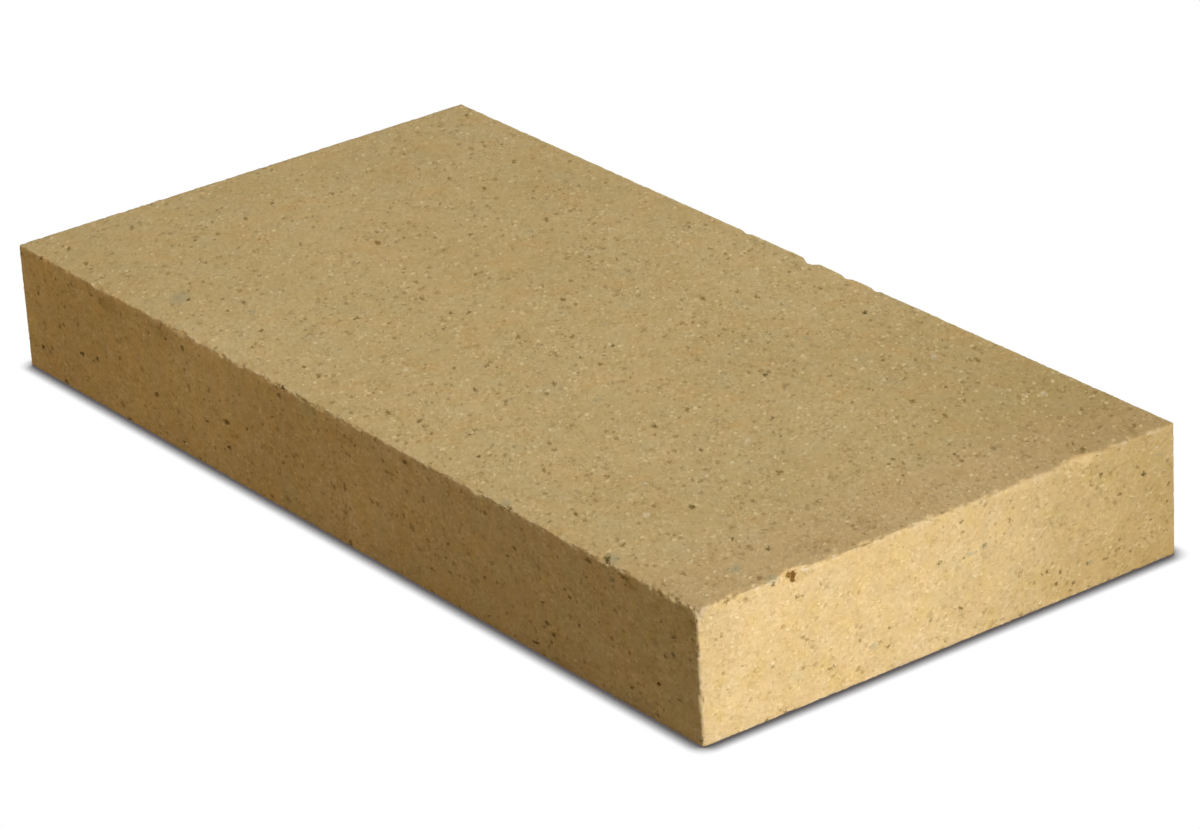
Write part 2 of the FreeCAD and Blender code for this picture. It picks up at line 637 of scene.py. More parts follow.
            Spot(-17.4, 29.4, 0.8, 0.5),
            Spot(-115.3, 29.4, 0.8, 0.7),
            Spot(-100.9, 10.5, 0.9, 0.8),
            Spot(-94.4, 11.4, 0.8, 0.8),
            Spot(-118.4, 6.5, 0.9, 0.9),
            Spot(-41.4, 13.7, 1.0, 0.8),
            Spot(-41.1, 7.8, 0.8, 0.9),
            Spot(-53.8, 0.6, 0.9, 0.5),
            Spot(-82.9, 0.5, 0.9, 0.5),
        ),
        Face.NEAR_END: (
            Spot(-43.1, 29.0, 0.6, 0.8),
            Spot(-1.3, 19.5, 0.5, 0.6),
            Spot(53.4, 21.1, 0.7, 0.8),
        ),
    },
}


class Skin(NamedTuple):
    """What the pressed body shows at a point: two grains about zero, and masks from 0 to 1."""

    dust: Field
    grit: Field
    grog: Field
    crevices: Field
    specks: Field
    pores: Field


@dataclass(frozen=True)
class BrickBox:
    """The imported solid's overall sizes, in millimetres, with the origin at the middle of its foot."""

    length: float
    width: float
    thickness: float

    @classmethod
    def of_node(cls, node: str) -> "BrickBox":
        """Reads the sizes from a node of the frame."""
        low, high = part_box(node)
        return cls(*((high - low) / MILLIMETRE))

    @property
    def low(self) -> Triple:
        """Gives the lowest corner."""
        return -self.length / 2, -self.width / 2, 0.0

    @property
    def high(self) -> Triple:
        """Gives the highest corner."""
        return self.length / 2, self.width / 2, self.thickness


@dataclass(frozen=True)
class Inclusion:
    """Grains of one kind, scattered through the body.

    A cell holds a grain where its chance is above the rarity. Least and most are the grains' radii in
    millimetres, palest is the faintest grain's strength, and more fading makes more grains faint.
    """

    rarity: float
    least: float
    most: float
    palest: float
    fading: float
    girth_power: float = 2.0
    rim: Span = Span(0.35, 1.15)

    def mask(self, cells: Cells, chance: Field) -> Field:
        """Says where the grains lie.

        Args:
            cells: the cells that hold one grain each.
            chance: the number of each cell that decides whether it holds a grain of this kind.

        Returns:
            A mask from 0 to 1. It is weaker on fainter grains.
        """
        radius = Span(self.least, self.most).between(cells.girth.power(self.girth_power))
        strength = Span(self.palest, 1.0).between(cells.tone.power(self.fading))
        chosen = chance.above(self.rarity)
        return (cells.distance / radius).falls(*self.rim) * chosen * strength


@dataclass(frozen=True)
class PressedClay:
    """The grain of the pressed body, as rules that relief and colour share.

    Sizes are in millimetres. Every grain is shrunk along the axes and drawn out along the strike.
    """

    box: BrickBox
    seed: float = 7.0
    strike: Triple = (0.81, -0.586, 0.0)
    shrink: Triple = (1.20, 1.20, 1.32)
    grain_draw: float = 0.40
    dust_draw: float = 0.80
    ragged: float = 0.62
    ragged_size: float = 0.9
    pore_ragged: float = 1.24
    pore_ragged_size: float = 1.8
    crowding: float = 1.5
    crowd_size: float = 9.0
    crowd_turn: float = 0.2
    dust_size: float = 1.0
    dust_detail: float = 3.0
    dust_roughness: float = 0.8
    dust_show: Span = Span(0.35, 1.65)
    grit_size: float = 0.75
    grit_gain: float = 4.0
    grain_spacing: float = 1.3
    grog: Inclusion = Inclusion(rarity=0.60, least=0.28, most=0.90, palest=0.08, fading=1.8)
    specks: Inclusion = Inclusion(rarity=0.72, least=0.30, most=1.05, palest=0.10, fading=1.8)
    pore_spacing: float = 4.4
    pores: Inclusion = Inclusion(rarity=0.72, least=0.42, most=1.30, palest=0.20, fading=1.5)
    crevice_spacing: float = 2.2
    crevice_share: float = 0.06
    crevice_patch: float = 3.0
    crevice_turn: Span = Span(0.02, 0.24)
    edge_reach: float = 1.8
    crumb_reach: float = 1.1
    mark_draw: float = 0.55
    mark_through: float = 2.5
    mark_rim: float = 1.22
    mark_torn: float = 1.1
    mark_torn_size: float = 0.8
    fringe: float = 1.2
    fringe_size: float = 0.8
    fringe_roughness: float = 0.6

    def drawn_out(self, graph: Graph, place: Field, seed: object, draw: float) -> Field:
        """Gives the place that a grain texture is read at.

        Args:
            graph: the tree.
            place: the point, in millimetres.
            seed: a vector that picks one brick out of many.
            draw: how much the texture is drawn out along the strike.

        Returns:
            The drawn-out place.
        """
        shrunk = graph.vector("MULTIPLY_ADD", place, self.shrink, seed)
        pulled = graph.scaled(self.strike, graph.dot(place, self.strike) * draw)
        return graph.vector("SUBTRACT", shrunk, pulled)

    def skin(self, graph: Graph, place: Field, seed: object) -> Skin:
        """Says what grains, crevices and pores a point shows.

        Args:
            graph: the tree.
            place: the point, in millimetres.
            seed: a vector that picks one brick out of many.

        Returns:
            The fine grains about zero, and a mask from 0 to 1 for each of the rest.
        """
        drawn = self.drawn_out(graph, place, seed, self.grain_draw)
        combed = self.drawn_out(graph, place, seed, self.dust_draw)
        crumbled = graph.shaken(drawn, self.ragged_size, self.ragged)
        torn = graph.shaken(drawn, self.pore_ragged_size, self.pore_ragged)
        crowd = graph.noise(drawn, self.crowd_size)
        dusty = self.dust_show.between(crowd.rises(-self.crowd_turn, self.crowd_turn))
        tone = graph.cells(crumbled, self.grit_size).tone - 0.5
        grains = graph.cells(crumbled, self.grain_spacing)
        holes = graph.cells(torn, self.pore_spacing)
        crevices = graph.noise(torn, self.crevice_spacing).size().falls(0.0, self.crevice_share)
        cracked = graph.noise(drawn, self.crevice_patch).rises(*self.crevice_turn)
        crowd = crowd * self.crowding
        return Skin(
            dust=graph.noise(combed, self.dust_size, self.dust_detail, self.dust_roughness) * dusty,
            grit=tone * tone * tone * self.grit_gain,
            grog=self.grog.mask(grains, grains.chance + crowd),
            crevices=crevices * cracked,
            specks=self.specks.mask(grains, crowd - grains.chance + 1.0),
            pores=self.pores.mask(holes, holes.chance + crowd),
        )

    def edge_distance(self, graph: Graph, place: Field) -> Field:
        """Measures how far a point of the surface is from the nearest edge of the block.

        Args:
            graph: the tree.
            place: the point, in millimetres.

        Returns:
            The distance in millimetres.
        """
        along, across, up = graph.parts(place)
        along = self.box.length / 2 - along.size()
        across = self.box.width / 2 - across.size()
        up = self.box.thickness / 2 - (up - self.box.thickness / 2).size()
        return along.at_most(across).at_least(along.at_least(across).at_most(up))

    def marks(self, graph: Graph, place: Field) -> Dict[Mark, Field]:
        """Says where the placed marks lie.

        Args:
            graph: the tree.
            place: the point, in millimetres.

        Returns:
            A mask from 0 to 1 for each kind, with a ragged fringe.
        """
        fringe = graph.noise(place, self.fringe_size, roughness=self.fringe_roughness) * self.fringe
        drawn = self.drawn_out(graph, place, (0.0, 0.0, 0.0), self.mark_draw)
        drawn = graph.shaken(drawn, self.mark_torn_size, self.mark_torn)
        masks = {}
        for mark in Mark:
            reaches = [
                self.reach(graph, drawn, face, spot)
                for face, spots in BLEMISHES[mark].items()
                for spot in spots
            ]
            masks[mark] = (reduce(Field.at_most, reaches) + fringe).falls(mark.core, self.mark_rim)
        return masks

    def reach(self, graph: Graph, drawn: Field, face: Face, spot: Spot) -> Field:
        """Measures how far a point is from a mark's middle, as a share of the mark's radii.

        Args:
            graph: the tree.
            drawn: the point, drawn out along the strike.
            face: the face that carries the mark.
            spot: the mark's place and radii.

        Returns:
            The share: 1 is the mark's rim.
        """
        centre, strike = Vector(spot.centre(face, self.box)), Vector(self.strike)
        middle = centre * Vector(self.shrink) - strike * (centre.dot(strike) * self.mark_draw)
        radii = spot.radii(face, self.mark_through)
        scale = [1.0 / radius for radius in radii]
        shift = [-along / radius for along, radius in zip(middle, radii)]
        return graph.length(graph.vector("MULTIPLY_ADD", drawn, scale, shift))


@dataclass(frozen=True)
class ClayRelief:
    """The relief of the clay skin, in millimetres, and the grid that carries it."""

    grid_step: float = 0.5
    grid_crowding: float = 0.25
    grain_height: float = 0.12
    grain_level: float = 0.5
    grog_height: float = 0.10
    pore_depth: float = 0.30
    speck_share: float = 0.4
    crevice_share: float = 0.5
    waver_depth: float = 0.05
    waver_size: float = 26.0
    waver_detail: float = 1.0
    waver_level: float = 0.3
    nibble_depth: float = 0.70
    nibble_spacing: float = 2.4
    nibble_chance: Span = Span(0.45, 1.0)
    nibble_form: Span = Span(0.2, 0.75)
    crumb_depth: float = 0.42
    crumb_spacing: float = 1.1
    crumb_roughness: float = 0.6
    crumb_chance: Span = Span(0.0, 0.12)
    crumb_start: float = 0.2
    edge_band: Span = Span(2.0, 4.0)
    whole_corner: Span = Span(3.0, 9.0)
    front_wear: Span = Span(0.5, 1.0)
    spared: Span = Span(0.12, 1.0)

    def tree(
        self, clay: PressedClay, solid: bpy.types.Object, finish: bpy.types.Material,
    ) -> bpy.types.NodeTree:
        """Builds the node tree that lays the skin on the solid and roughens it.

        Args:
            clay: the grain rules.
            solid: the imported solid.
            finish: the material of the skin.

        Returns:
            The tree, with named inputs for its sizes.
        """
        tree = bpy.data.node_groups.new("pressed clay skin", "GeometryNodeTree")
        tree.is_modifier = True
        tree.interface.new_socket("Geometry", in_out="INPUT", socket_type="NodeSocketGeometry")
        tree.interface.new_socket("Geometry", in_out="OUTPUT", socket_type="NodeSocketGeometry")
        names = self.named_sizes(clay)
        for name in names:
            tree.interface.new_socket(name, in_out="INPUT", socket_type="NodeSocketFloat")
        graph = Graph(tree)
        sizes = tree.nodes.new("NodeGroupInput")
        size = {name: Field(graph, sizes.outputs[name]) for name in names}

        skin = self.laid_on(graph, clay.box, solid, size["Grid Step"])
        place = graph.scaled(graph.field(tree.nodes.new("GeometryNodeInputPosition")), 1.0 / MILLIMETRE)
        seed = graph.field(graph.node("ShaderNodeCombineXYZ", {way: size["Seed"] for way in range(3)}))
        depth = self.sunk(graph, clay, place, seed, size)
        nibble = self.nibbled(graph, clay, place, seed, size)
        normal = graph.field(tree.nodes.new("GeometryNodeInputNormal"))
        moved = graph.vector("ADD", graph.scaled(normal, depth * -MILLIMETRE),
                             graph.scaled(self.outward(graph, clay, place), nibble * -MILLIMETRE))
        roughened = graph.node("GeometryNodeSetPosition", {"Geometry": skin, "Offset": moved})
        real = graph.node("GeometryNodeRealizeInstances", {"Geometry": roughened.outputs[0]})
        inputs = {"Geometry": real.outputs[0], "Material": finish}
        dressed = graph.node("GeometryNodeSetMaterial", inputs)
        output = tree.nodes.new("NodeGroupOutput")
        tree.links.new(dressed.outputs[0], output.inputs[0])
        return tree

    def named_sizes(self, clay: PressedClay) -> Dict[str, float]:
        """Gives the tree's inputs by name, for one clay."""
        return {
            "Grid Step": self.grid_step,
            "Grain Height": self.grain_height,
            "Grog Height": self.grog_height,
            "Pore Depth": self.pore_depth,
            "Waver Depth": self.waver_depth,
            "Nibble Depth": self.nibble_depth,
            "Crumb Depth": self.crumb_depth,
            "Seed": clay.seed,
        }

    def laid_on(
        self, graph: Graph, box: BrickBox, solid: bpy.types.Object, step: Field,
    ) -> bpy.types.NodeSocket:
        """Lays a grid on the solid's surface, with its lines closer together near the edges.

        Args:
            graph: the tree.
            box: the solid's sizes.
            solid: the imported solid.
            step: the grid's mean spacing, in millimetres.

        Returns:
            The geometry that follows every rounding and chip of the solid.
        """
        extents = (box.length, box.width, box.thickness)
        counts = [graph.math("ROUND", graph.math("DIVIDE", extent, step)) + 1.0 for extent in extents]
        cube = graph.node("GeometryNodeMeshCube", {
            "Size": [extent * MILLIMETRE for extent in extents],
            "Vertices X": counts[0],
            "Vertices Y": counts[1],
            "Vertices Z": counts[2],
        })
        crowded = graph.node("GeometryNodeSetPosition", {
            "Geometry": cube.outputs[0],
            "Position": self.crowded(graph, extents),
        })
        lift = (0.0, 0.0, box.thickness / 2 * MILLIMETRE)
        inputs = {"Geometry": crowded.outputs[0], "Translation": lift}
        stood = graph.node("GeometryNodeTransform", inputs)
        packed = graph.node("GeometryNodeObjectInfo", {"Object": solid})
        near = graph.node("GeometryNodeProximity", {0: packed.outputs["Geometry"]})
        inputs = {"Geometry": stood.outputs[0], "Position": near.outputs["Position"]}
        return graph.node("GeometryNodeSetPosition", inputs).outputs[0]

    def crowded(self, graph: Graph, extents: Triple) -> Field:
        """Draws the lines of an even grid closer together near the block's edges.

        Args:
            graph: the tree.
            extents: the block's sizes, in millimetres.

        Returns:
            The shifted places, in metres.
        """
        place = graph.field(graph.tree.nodes.new("GeometryNodeInputPosition"))
        share = graph.vector("DIVIDE", place, [extent / 2 * MILLIMETRE for extent in extents])
        squared = graph.vector("MULTIPLY", share, share)
        pull = self.grid_crowding
        spread = graph.vector("MULTIPLY_ADD", squared, [-pull] * 3, [1.0 + pull] * 3)
        return graph.vector("MULTIPLY", place, spread)

    def sunk(
        self, graph: Graph, clay: PressedClay, place: Field, seed: Field, size: Dict[str, Field],
    ) -> Field:
        """Works out how far the surface lies below the pressed face.

        Args:
            graph: the tree.
            clay: the grain rules.
            place: the point, in millimetres.
            seed: the seed, as a vector.
            size: the tree's inputs.

        Returns:
            The depth in millimetres, never less than zero.
        """
        skin = clay.skin(graph, place, seed)
        depth = (self.grain_level - skin.dust - skin.grit) * size["Grain Height"]
        waver = graph.noise(place, self.waver_size, self.waver_detail) + self.waver_level
        depth = depth + waver * size["Waver Depth"]
        depth = depth - skin.grog * size["Grog Height"]
        holes = skin.specks * self.speck_share + skin.crevices * self.crevice_share + skin.pores
        depth = depth + holes * size["Pore Depth"]
        for mark, mask in clay.marks(graph, place).items():
            if mark.depth:
                depth = depth.at_least(mask * mark.depth)
        return depth.at_least(0.0)

    def nibbled(
        self, graph: Graph, clay: PressedClay, place: Field, seed: Field, size: Dict[str, Field],
    ) -> Field:
        """Works out how far the edges have crumbled back.

        Args:
            graph: the tree.
            clay: the grain rules.
            place: the point, in millimetres.
            seed: the seed, as a vector.
            size: the tree's inputs.

        Returns:
            The depth in millimetres.
        """
        shifted = graph.vector("ADD", place, seed)
        edge = clay.edge_distance(graph, place)
        ragged = graph.shaken(shifted, clay.ragged_size, clay.ragged)
        broken = graph.cells(ragged, self.nibble_spacing)
        bites = broken.chance.rises(*self.nibble_chance)
        bites = bites * (broken.distance / self.nibble_spacing).falls(*self.nibble_form)
        bites = bites * edge.falls(0.0, clay.edge_reach) * size["Nibble Depth"]
        crumbs = graph.noise(shifted, self.crumb_spacing, roughness=self.crumb_roughness)
        crumbs = crumbs.rises(*self.crumb_chance)
        crumbs = crumbs * edge.falls(self.crumb_start, clay.crumb_reach) * size["Crumb Depth"]
        along, across, up = graph.parts(place)
        upper = self.spared.between((clay.box.thickness - up).falls(*self.edge_band))
        return (bites + crumbs) * upper * self.handled(clay.box, along, across)

    def handled(self, box: BrickBox, along: Field, across: Field) -> Field:
        """Says how much the edges near a point were knocked about.

        Args:
            box: the solid's sizes.
            along: the point's place along the length, in millimetres.
            across: its place across the width.

        Returns:
            A share: 1 at the near end and the front's near half, less on its far half, least elsewhere.
        """
        half_length, half_width = box.length / 2, box.width / 2
        band, corner = self.edge_band, self.whole_corner
        near_end = along.rises(half_length - band.high, half_length - band.low)
        near_end = near_end * across.falls(half_width - corner.high, half_width - corner.low)
        front = (0.0 - across).rises(half_width - band.high, half_width - band.low)
        front = front * along.rises(corner.low - half_length, corner.high - half_length)
        front = front * self.front_wear.between(along.rises(-half_length, 0.0))
        return self.spared.between(near_end.at_least(front))

    def outward(self, graph: Graph, clay: PressedClay, place: Field) -> Field:
        """Gives the outward direction of the block with its edges eased over the edge's reach.

        Args:
            graph: the tree.
            clay: the grain rules.
            place: the point, in millimetres.

        Returns:
            A unit vector.
        """
        low = [value + clay.edge_reach for value in clay.box.low]
        high = [value - clay.edge_reach for value in clay.box.high]
        core = graph.vector("MINIMUM", graph.vector("MAXIMUM", place, low), high)
        return graph.vector("NORMALIZE", graph.vector("SUBTRACT", place, core))


class ByFace(NamedTuple):
    """A number that differs between the long sides, the beds, the ends and the beds' far part."""

    side: float
    bed: float
    end: float
    far_bed: float


class Whereabouts(NamedTuple):
    """Masks from 0 to 1 that say whether a point is on a bed, on an end or on a bed's far part."""

    bed: Field
    end: Field
    far_bed: Field

    def pick(self, number: ByFace) -> Field:
        """Gives a number's value at the point.

        Args:
            number: the number, face by face.

        Returns:
            The value, blended over the edges.
        """
        rises = (number.bed - number.side, number.end - number.side, number.far_bed - number.bed)
        changes = [mask * rise for mask, rise in zip(self, rises) if rise]
        return reduce(Field.__add__, changes) + number.side


@dataclass(frozen=True)
class FiredClay:
    """The finish of the fired body: buff clay, pale grog, dark specks, placed marks, worn edges, painted
    shade.

    Sizes are in millimetres.
    """

    body: Colour = (0.458, 0.330, 0.152)
    light: Colour = (0.716, 0.546, 0.318)
    dark: Colour = (0.262, 0.171, 0.046)
    warm: Colour = (0.476, 0.320, 0.136)
    olive: Colour = (0.440, 0.341, 0.170)
    chalk: Colour = (0.456, 0.334, 0.167)
    ochre: Colour = (0.462, 0.331, 0.133)
    # Painted shade for the back half and the foot of the ends
    end_painted_shade: Colour = (0.425, 0.290, 0.112)
    blush: Colour = (0.464, 0.311, 0.154)
    grog: Colour = (0.670, 0.532, 0.292)
    speck: Colour = (0.175, 0.108, 0.025)
    # Painted shade inside the pores, which are real hollows too
    pore_painted_shade: Colour = (0.115, 0.074, 0.017)
    worn: Colour = (0.530, 0.418, 0.258)
    face_rim: Span = Span(0.2, 0.6)
    far_share: float = 0.4
    hue_size: float = 8.0
    hue_detail: float = 3.0
    hue_roughness: float = 0.62
    hue_turn: float = 0.24
    hue_spread: ByFace = ByFace(side=1.20, bed=0.90, end=0.70, far_bed=0.90)
    chalk_size: float = 4.6
    chalk_detail: float = 1.0
    chalk_turn: float = 0.3
    chalk_spread: ByFace = ByFace(side=1.0, bed=0.4, end=1.0, far_bed=0.4)
    # How much of the ends' painted shade shows, from the top down to the foot
    end_painted_shade_show: Span = Span(0.6, 1.0)
    blush_reach: Span = Span(8.0, 28.0)
    blush_show: float = 0.5
    grain_show: ByFace = ByFace(side=1.10, bed=0.98, end=0.88, far_bed=0.76)
    dust_shade: float = 0.76
    grit_shade: float = 0.52
    cloud_sizes: Tuple[float, float] = (4.4, 34.0)
    cloud_shade: float = 0.34
    cloud_show: ByFace = ByFace(side=1.9, bed=1.0, end=1.4, far_bed=1.0)
    # Painted shade that darkens the beds towards the near end's back corner
    painted_corner_shade_start: float = 20.0
    painted_corner_shade_strength: float = 0.3
    worn_reach: Span = Span(0.3, 1.4)
    worn_size: float = 1.7
    worn_patches: Span = Span(-0.05, 0.22)
    worn_show: float = 0.65
    grog_show: ByFace = ByFace(side=0.60, bed=0.78, end=0.52, far_bed=0.62)
    # Painted shade in the crevices, which are real hollows too
    crevice_painted_shade: float = 0.4
    speck_show: ByFace = ByFace(side=0.75, bed=0.65, end=0.63, far_bed=0.57)
    # How strong the painted shade in the pores is, face by face
    pore_painted_shade_show: ByFace = ByFace(side=0.88, bed=0.62, end=0.36, far_bed=0.62)
    specular: float = 0.12
    roughness: float = 0.93
    roughness_spread: float = 0.12
    bump_height: float = 0.18
    bump_dust: float = 0.5
    bump_grit: float = 0.6
    bump_grog: float = 0.7
    bump_speck: float = 0.5

    def material(self, clay: PressedClay) -> bpy.types.Material:
        """Builds the material.

        Args:
            clay: the grain rules, which the relief uses too.

        Returns:
            A material on Object coordinates.
        """
        made = bpy.data.materials.new("fired fireclay")
        made.use_nodes = True
        tree = made.node_tree
        tree.nodes.clear()
        graph = Graph(tree)
        here = graph.field(tree.nodes.new("ShaderNodeTexCoord"), "Object")
        place = graph.scaled(here, 1.0 / MILLIMETRE)
        skin = clay.skin(graph, place, (clay.seed, clay.seed, clay.seed))
        colour = self.coloured(graph, clay, place, skin)
        raised = skin.dust * self.bump_dust + skin.grit * self.bump_grit + skin.grog * self.bump_grog
        sunk = skin.specks * self.bump_speck + skin.pores
        bump = graph.node("ShaderNodeBump", {
            "Strength": 1.0,
            "Distance": self.bump_height * MILLIMETRE,
            "Height": raised - sunk,
        })
        shader = graph.node("ShaderNodeBsdfPrincipled", {
            "Base Color": colour,
            "Roughness": (skin.dust * self.roughness_spread + self.roughness).at_most(1.0),
            "Specular IOR Level": self.specular,
            "Normal": bump.outputs[0],
        })
        output = tree.nodes.new("ShaderNodeOutputMaterial")
        tree.links.new(shader.outputs[0], output.inputs[0])
        return made

    def coloured(self, graph: Graph, clay: PressedClay, place: Field, skin: Skin) -> Field:
        """Works out the clay's colour.

        Args:
            graph: the tree.
            clay: the grain rules.
            place: the point, in millimetres.
            skin: what grains, crevices and pores show.

        Returns:
            The colour.
        """
        where = self.whereabouts(graph, clay.box, place)
        show = where.pick(self.grain_show)
        colour = self.hued(graph, clay.box, place, where)
        shade = self.fine_shade(skin) * show + self.broad_shade(graph, clay.box, place, where)
        colour = graph.tinted(shade.at_least(0.0), colour, self.light)
        colour = graph.tinted((0.0 - shade).at_least(0.0), colour, self.dark)
        worn = clay.edge_distance(graph, place).falls(*self.worn_reach)
        worn = worn * graph.noise(place, self.worn_size).rises(*self.worn_patches)
        colour = graph.tinted(worn * self.worn_show, colour, self.worn)
        colour = graph.tinted(skin.grog * where.pick(self.grog_show), colour, self.grog)
        # The crevices are real hollows; their dark tint, in the speck colour, is painted shade
        colour = graph.tinted(skin.crevices * show * self.crevice_painted_shade, colour, self.speck)
        colour = graph.tinted(skin.specks * where.pick(self.speck_show), colour, self.speck)
        # The pores are real hollows; their dark colour is painted shade
        colour = graph.tinted(skin.pores * where.pick(self.pore_painted_shade_show), colour, self.pore_painted_shade)
        for mark, mask in clay.marks(graph, place).items():
            colour = graph.tinted(mask * mark.strength, colour, mark.colour)
        return colour

    def whereabouts(self, graph: Graph, box: BrickBox, place: Field) -> Whereabouts:
        """Says which face a point is on.

        Args:
            graph: the tree.
            box: the brick's sizes.
            place: the point, in millimetres.

        Returns:
            The masks of the faces.
        """
        along, _, up = graph.parts(place)
        half_length, half_thickness, rim = box.length / 2, box.thickness / 2, self.face_rim
        end = along.size().rises(half_length - rim.high, half_length - rim.low)
        level = (up - half_thickness).size()
        bed = level.rises(half_thickness - rim.high, half_thickness - rim.low)
        return Whereabouts(bed, end, bed * along.falls(-half_length, half_length * self.far_share))

    def hued(self, graph: Graph, box: BrickBox, place: Field, where: Whereabouts) -> Field:
        """Lays the patches of other hues over the body's colour, and painted shade on the ends.

        Args:
            graph: the tree.
            box: the brick's sizes.
            place: the point, in millimetres.
            where: the face that the point is on.

        Returns:
            The colour before any grain.
        """
        hue = graph.noise(place, self.hue_size, self.hue_detail, self.hue_roughness)
        hue = hue * where.pick(self.hue_spread)
        colour = graph.tinted(hue.rises(0.0, self.hue_turn), self.body, self.warm)
        colour = graph.tinted(hue.falls(-self.hue_turn, 0.0), colour, self.olive)
        chalky = graph.noise(place, self.chalk_size, self.chalk_detail) * where.pick(self.chalk_spread)
        colour = graph.tinted(chalky.rises(0.0, self.chalk_turn), colour, self.chalk)
        colour = graph.tinted(chalky.falls(-self.chalk_turn, 0.0), colour, self.ochre)
        along, across, up = graph.parts(place)
        half_length, reach = box.length / 2, self.blush_reach
        # Painted shade: the ends turn darker and yellower towards the back and the foot
        end_painted_shade_mask = where.end * across.rises(0.0, box.width / 2)
        end_painted_shade_mask = end_painted_shade_mask * self.end_painted_shade_show.between(up.falls(0.0, box.thickness / 2))
        colour = graph.tinted(end_painted_shade_mask, colour, self.end_painted_shade)
        blushed = where.bed * along.rises(half_length - reach.high, half_length - reach.low)
        return graph.tinted(blushed * self.blush_show, colour, self.blush)

    def fine_shade(self, skin: Skin) -> Field:
        """Gives how much lighter or darker than the body the dust and grit are."""
        return skin.dust * self.dust_shade + skin.grit * self.grit_shade

    def broad_shade(self, graph: Graph, box: BrickBox, place: Field, where: Whereabouts) -> Field:
        """Works out how much lighter or darker than the body the clay is: broad patches and painted
        shade.

        Args:
            graph: the tree.
            box: the brick's sizes.
            place: the point, in millimetres.
            where: the face that the point is on.

        Returns:
            The shade: above zero is lighter.
        """
        along, across, _ = graph.parts(place)
        clouds = [graph.noise(place, size) * self.cloud_shade for size in self.cloud_sizes]
        # Painted shade: the beds darken towards the near end's back corner
        painted_corner_shade = where.bed * along.rises(self.painted_corner_shade_start, box.length / 2)
        painted_corner_shade = painted_corner_shade * across.rises(0.0, box.width / 2)
        return reduce(Field.__add__, clouds) * where.pick(self.cloud_show) - painted_corner_shade * self.painted_corner_shade_strength


@dataclass
class Firebrick:
    """The brick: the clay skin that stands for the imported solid.

    Triangles is the most that its mesh may have. The gutter parts the islands of its map, in
    millimetres.
    """

    clay: PressedClay
    relief: ClayRelief
    finish: FiredClay
    name: str = "firebrick_clay"
    triangles: int = 190_000
    gutter: float = 3.0

    def build(self) -> bpy.types.Object:
        """Makes the skin, dresses it and puts it in the solid's place.

        Returns:
            The finished piece.
        """
        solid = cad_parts[SOLID_NODE]
        material = self.finish.material(self.clay)
        piece = bpy.data.objects.new(self.name, bpy.data.meshes.new(self.name))
        bpy.context.scene.collection.objects.link(piece)
        self.roughen(piece, self.relief.tree(self.clay, solid, material))
        self.thin(piece)
        self.unfold(piece.data)
        piece.data.polygons.foreach_set("use_smooth", [True] * len(piece.data.polygons))
        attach(piece, "root")
        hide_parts(SOLID_NODE)
        return piece

    def roughen(self, piece: bpy.types.Object, tree: bpy.types.NodeTree) -> None:
        """Runs the skin's tree once and keeps its result as a plain mesh.

        Args:
            piece: the object that gets the mesh.
            tree: the skin's tree.
        """
        modifier = piece.modifiers.new("skin", "NODES")
        modifier.node_group = tree
        sizes = self.relief.named_sizes(self.clay)
        for item in tree.interface.items_tree:
            if item.in_out == "INPUT" and item.name in sizes:
                modifier[item.identifier] = sizes[item.name]
        self.bake(piece)

    def thin(self, piece: bpy.types.Object) -> None:
        """Thins the mesh where it is flat, and holds its points inside the solid's box.

        Args:
            piece: the object whose mesh is thinned.
        """
        triangles = sum(len(polygon.vertices) - 2 for polygon in piece.data.polygons)
        modifier = piece.modifiers.new("thin", "DECIMATE")
        modifier.ratio = min(1.0, self.triangles / triangles)
        self.bake(piece)
        points = np.empty(len(piece.data.vertices) * 3, np.float32)
        piece.data.vertices.foreach_get("co", points)
        low, high = (np.array(corner) * MILLIMETRE for corner in (self.clay.box.low, self.clay.box.high))
        held = np.clip(points.reshape(-1, 3), low, high)
        piece.data.vertices.foreach_set("co", held.ravel())

    def bake(self, piece: bpy.types.Object) -> None:
        """Replaces a piece's mesh by what its modifiers make of it, and removes them.

        Args:
            piece: the object.
        """
        depsgraph = bpy.context.evaluated_depsgraph_get()
        mesh = bpy.data.meshes.new_from_object(piece.evaluated_get(depsgraph), depsgraph=depsgraph)
        piece.modifiers.clear()
        piece.data = mesh
        mesh.name = self.name

    def unfold(self, mesh: bpy.types.Mesh) -> None:
        """Gives the mesh a map with one flat island for each face of the brick.

        Args:
            mesh: the skin's mesh.
        """
        corners = np.empty(len(mesh.loops), np.int32)
        mesh.loops.foreach_get("vertex_index", corners)
        points = np.empty(len(mesh.vertices) * 3, np.float32)
        mesh.vertices.foreach_get("co", points)
        points = points.reshape(-1, 3)[corners] / MILLIMETRE - self.clay.box.low
        normals = np.empty(len(mesh.polygons) * 3, np.float32)
        mesh.polygons.foreach_get("normal", normals)
        totals = np.empty(len(mesh.polygons), np.int32)
        mesh.polygons.foreach_get("loop_total", totals)
        normals = np.repeat(normals.reshape(-1, 3), totals, axis=0)
        axis = np.abs(normals).argmax(axis=1)
        upper = normals[np.arange(len(axis)), axis] > 0
        box, gutter = self.clay.box, self.gutter
        bed, strip = box.width + gutter, box.thickness + gutter
        column = box.length + gutter
        flat = np.empty((len(axis), 2), np.float32)
        for side in (False, True):
            here = upper == side
            row = float(side)
            for way, (u, v, start) in enumerate((
                (2, 1, (column, row * bed)),
                (0, 2, (0.0, 2 * bed + row * strip)),
                (0, 1, (0.0, row * bed)),
            )):
                chosen = here & (axis == way)
                flat[chosen] = points[chosen][:, (u, v)] + start
        extent = max(column + strip, 2 * (bed + strip)) + gutter
        uv = mesh.uv_layers.new(name="OFBake")
        uv.data.foreach_set("uv", ((flat + gutter / 2) / extent).ravel())


